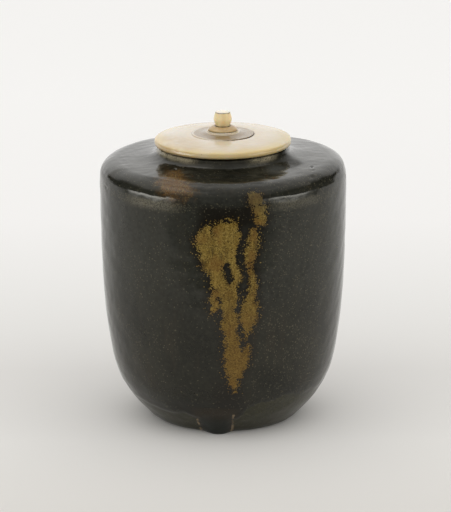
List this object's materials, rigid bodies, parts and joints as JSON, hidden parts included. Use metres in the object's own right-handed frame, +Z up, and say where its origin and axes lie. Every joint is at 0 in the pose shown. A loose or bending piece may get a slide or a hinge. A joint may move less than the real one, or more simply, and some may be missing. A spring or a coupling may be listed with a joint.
{
  "type": "tea caddy",
  "caption": "Small square-shouldered glazed stoneware tea caddy with a turned ivory-coloured lid that lifts off by its knob.",
  "frame": {"origin": "middle of the flat foot, on the surface that the jar stands on", "axes": "+Z up along the jar's turning axis; -Y towards the front, where the glaze bead hangs"},
  "size_m": [0.0738, 0.0738, 0.0933],
  "materials": {
    "iron_glaze": "gloss",
    "ivory": "polished",
    "brown_ivory": "satin",
    "warm_ivory": "polished",
    "gold_leaf": "satin"
  },
  "bodies": {
    "jar": {"stoneware_body": "iron_glaze"},
    "lid": {"lid_plate": "ivory", "knob_collar": "brown_ivory", "knob": "warm_ivory", "gold_leaf_lining": "gold_leaf"}
  },
  "joints": [
    {"name": "lid_lift", "type": "slide", "parent": "jar", "child": "lid", "axis": [0, 0, 1], "range_m": [0, 0.1]}
  ]
}
